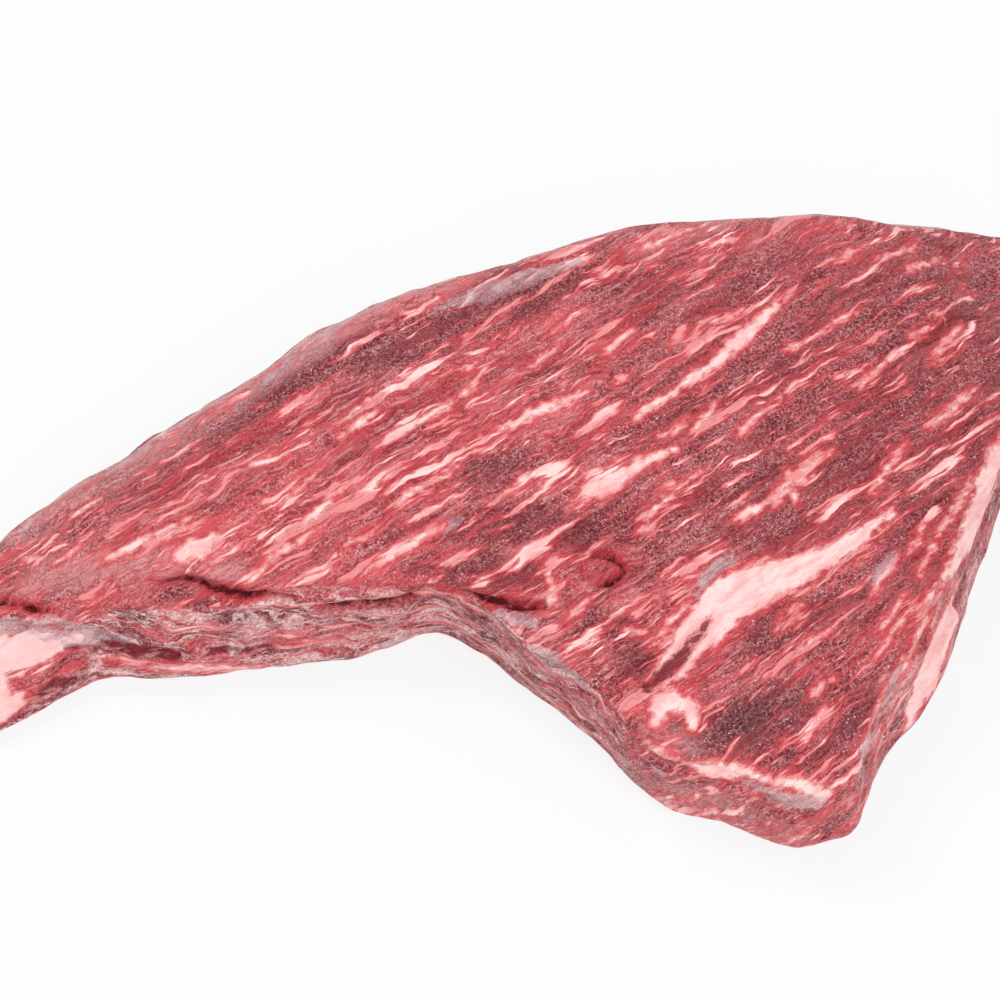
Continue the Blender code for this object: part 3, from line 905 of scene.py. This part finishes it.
def side_lean(meat):
    """Lean of the sides: browner, in wavy level folds with pale membranes and shadowed lumps."""
    lean = meat.blend(meat.span(meat.layers, 0.36, 0.5), paint("deep fold"), paint("pale fold"))
    lean = meat.coat(meat.span(meat.layers, 0.5, 0.62), lean, "fold crest")
    lean = meat.coat(meat.span(meat.fold("pale blotches"), 0.52, 0.62, end=0.7), lean, "pale blotch")
    lean = meat.coat(meat.times(meat.paler, 0.4), lean, "faded side")
    lean = meat.coat(meat.times(meat.dark, 0.45), lean, "brown side")
    redder = meat.most(meat.span(meat.fold("red patches"), 0.48, 0.6), meat.bright)
    lean = meat.coat(meat.times(redder, 0.5), lean, "red side")
    lean = meat.coat(meat.span(meat.fold("lumps"), 0.53, 0.4, end=0.7), lean, "shadowed lump")
    membrane = meat.line(meat.fold("membrane"), 0.035)
    membrane = meat.most(membrane, meat.line(meat.fold("thin membrane"), 0.028))
    membrane = meat.times(membrane, meat.span(meat.fold("membrane bands"), 0.42, 0.56))
    lean = meat.coat(meat.times(membrane, 0.85), lean, "membrane")
    lean = meat.coat(meat.span(meat.curls, 0.4, 0.95, end=0.28), lean, "pale side curl")
    lean = meat.coat(meat.span(meat.curls, 0.3, 0.0, end=0.35), lean, "dark side curl")
    return meat.coat(meat.span(meat.specks, 0.48, 0.36, end=0.4), lean, "dark side speck")


def streak_depth(meat, streaks, threshold, slope):
    """Depth into fat that starts where a streak field passes a threshold."""
    return meat.times(meat.math("SUBTRACT", streaks, threshold), slope)


def fat_depth(meat):
    """Depth into the fat: the placed seams with ragged edges, or the streaks' finer marbling."""
    placed = meat.ragged("fat", meat.span(meat.lobe, 0.0, 0.8, 3.2, 0.8))
    marbling = streak_depth(meat, meat.cut("marbling"), 0.58, 24.0)
    marbling = meat.math("SUBTRACT", marbling, meat.span(meat.cut("marbled bands"), 0.62, 0.4, end=2.4))
    slivers = streak_depth(meat, meat.cut("slivers"), 0.62, 20.0)
    slivers = meat.math("SUBTRACT", slivers, meat.span(meat.cut("slivered bands"), 0.56, 0.44, end=2.5))
    marbling = meat.math("ADD", meat.most(marbling, slivers), meat.span(meat.dark, 0.0, 0.6, 0.5, -0.25))
    strength = meat.span(meat.cut("marbling strength"), 0.44, 0.6, 0.1, 1.5)
    marbling = meat.math("MINIMUM", marbling, strength)
    side_fat = streak_depth(meat, meat.fold("fat lines"), 0.66, 14.0)
    return meat.most(placed, meat.mix(meat.side, marbling, side_fat))


def fat_core(meat):
    """The colour deep in the fat: mottled, with thin red veins, and rosy on the tail."""
    mottle = meat.span(meat.cut("fat mottle"), 0.36, 0.6)
    core = meat.blend(mottle, paint("fat core"), paint("pale fat core"))
    core = meat.coat(meat.times(meat.line(meat.cut("red veins"), 0.016), 0.4), core, "red vein")
    return meat.coat(meat.times(meat.lobe, 0.7), core, "tail fat")


def film_and_cracks(meat, colour):
    """The side hollows and the cracks darkened with painted shade, the silverskin and the slits, over the
    lean and the fat.
    """
    # Painted shade: the side hollows darkened red, most where the layers sink
    hollow = meat.span(meat.ragged("deep", 4.0), -0.9, 0.5, end=0.88)
    hollow = meat.times(hollow, meat.span(meat.layers, 0.66, 0.54, 0.4, 1.0))
    colour = meat.coat(hollow, colour, "shaded side hollow")
    film = meat.blend(meat.span(meat.layers, 0.4, 0.6), paint("grey film"), paint("pale film"))
    film = meat.coat(meat.times(meat.dark, 0.6), film, "dark film")
    film = meat.coat(meat.span(meat.specks, 0.56, 0.68, end=0.7), film, "film glint")
    colour = meat.blend(meat.times(meat.span(meat.ragged("silver", 3.0), -0.4, 0.6), 0.62), colour, film)
    open_slit = meat.span(meat.ragged("slit", 3.4), -0.3, 0.3)
    colour = meat.coat(meat.times(open_slit, 0.85), colour, "slit")
    torn = meat.ragged("crevice", 2.2)
    colour = meat.coat(meat.span(torn, -2.0, -0.4, end=0.5), colour, "crack edge")
    # Painted shade: near black red deep in the crevices and in the ring round the knob
    return meat.coat(meat.span(torn, -0.3, 0.5, end=0.9), colour, "crack")


def fine_bumps(meat, fat_share):
    """The normal of the crinkled, fibrous lean and of the smoother fat that stands above it."""
    crinkle = meat.noise(CRINKLE_SCALE, 3.0, 0.6)
    crinkle = meat.times(crinkle, meat.span(fat_share, 0.0, 1.0, 1.0, 0.3))
    strands = meat.mix(meat.side, meat.fibres, meat.layers)
    strands = meat.math("SUBTRACT", strands, meat.times(meat.creases, 0.3))
    strands = meat.times(strands, meat.span(fat_share, 0.0, 1.0, 1.3, 0.2))
    height = meat.math("ADD", meat.math("ADD", crinkle, strands), meat.times(fat_share, 0.5))
    bump = meat.put("ShaderNodeBump", {"Strength": 1.0, "Distance": BUMP_HEIGHT, "Height": height})
    return bump.outputs["Normal"]


def meat_material():
    """Raw beef: lean of the cut face and of the sides, fat, film and cracks, with a moist sheen."""
    material = bpy.data.materials.new("raw_beef")
    material.use_nodes = True
    meat = MeatTree(material.node_tree)
    lean = meat.blend(meat.side, crinkled(meat, cut_face_lean(meat)), side_lean(meat))
    values = {"Lean": lean, "Depth": fat_depth(meat), "Edge": paint("red fat edge"), "Core": fat_core(meat)}
    fat = meat.group(fat_group(), values)
    shader = material.node_tree.nodes["Principled BSDF"]
    meat.give(shader.inputs["Base Color"], film_and_cracks(meat, fat["Color"]))
    roughness = meat.span(meat.wet, 0.0, 1.0, DRY_ROUGHNESS, WET_ROUGHNESS)
    meat.give(shader.inputs["Roughness"], roughness)
    meat.give(shader.inputs["Normal"], fine_bumps(meat, fat["Share"]))
    shader.inputs["Specular IOR Level"].default_value = SPECULAR_LEVEL
    shader.inputs["Subsurface Weight"].default_value = SUBSURFACE_SHARE
    shader.inputs["Subsurface Radius"].default_value = SUBSURFACE_COLOURS
    shader.inputs["Subsurface Scale"].default_value = SUBSURFACE_DEPTH
    return material


def make_meat():
    mesh = shape_meat()
    mesh.materials.clear()
    mesh.materials.append(meat_material())
    meat = bpy.data.objects.new("tri_tip_meat", mesh)
    bpy.context.scene.collection.objects.link(meat)
    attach(meat, "root")
    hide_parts("tri_tip")


def make_floor():
    bm = bmesh.new()
    bmesh.ops.create_grid(bm, x_segments=1, y_segments=1, size=FLOOR_HALF)
    mesh = bpy.data.meshes.new("floor")
    bm.to_mesh(mesh)
    bm.free()
    material = bpy.data.materials.new("pale_floor")
    material.use_nodes = True
    shader = material.node_tree.nodes["Principled BSDF"]
    shader.inputs["Base Color"].default_value = FLOOR_COLOUR
    shader.inputs["Roughness"].default_value = FLOOR_ROUGHNESS
    shader.inputs["Emission Color"].default_value = WHITE
    shader.inputs["Emission Strength"].default_value = FLOOR_GLOW
    mesh.materials.append(material)
    floor = bpy.data.objects.new("floor", mesh)
    bpy.context.scene.collection.objects.link(floor)


def aim(thing, target):
    thing.rotation_euler = (target - thing.location).to_track_quat("-Z", "Y").to_euler()


def make_camera():
    data = bpy.data.cameras.new("camera")
    data.sensor_width = SENSOR_WIDTH
    data.lens = SENSOR_WIDTH * CAMERA_DISTANCE / VIEW_WIDTH
    data.clip_start = CAMERA_CLIP
    camera = bpy.data.objects.new("camera", data)
    bpy.context.scene.collection.objects.link(camera)
    away = Vector((0, -math.cos(CAMERA_ELEVATION), math.sin(CAMERA_ELEVATION)))
    camera.location = (CAMERA_AIM + away * CAMERA_DISTANCE) * MM
    aim(camera, CAMERA_AIM * MM)
    bpy.context.scene.camera = camera


def make_lights():
    world = bpy.data.worlds.new("studio")
    world.use_nodes = True
    world.node_tree.nodes["Background"].inputs["Color"].default_value = WHITE
    world.node_tree.nodes["Background"].inputs["Strength"].default_value = WORLD_STRENGTH
    bpy.context.scene.world = world
    for name, place, size, power in LIGHTS:
        data = bpy.data.lights.new(name, "AREA")
        data.shape = "SQUARE"
        data.size = size
        data.energy = power
        light = bpy.data.objects.new(name, data)
        bpy.context.scene.collection.objects.link(light)
        light.location = place
        aim(light, LIGHT_AIM)
    view = bpy.context.scene.view_settings
    view.view_transform = "Standard"
    view.look = "None"


make_camera()
make_lights()
make_floor()
make_meat()
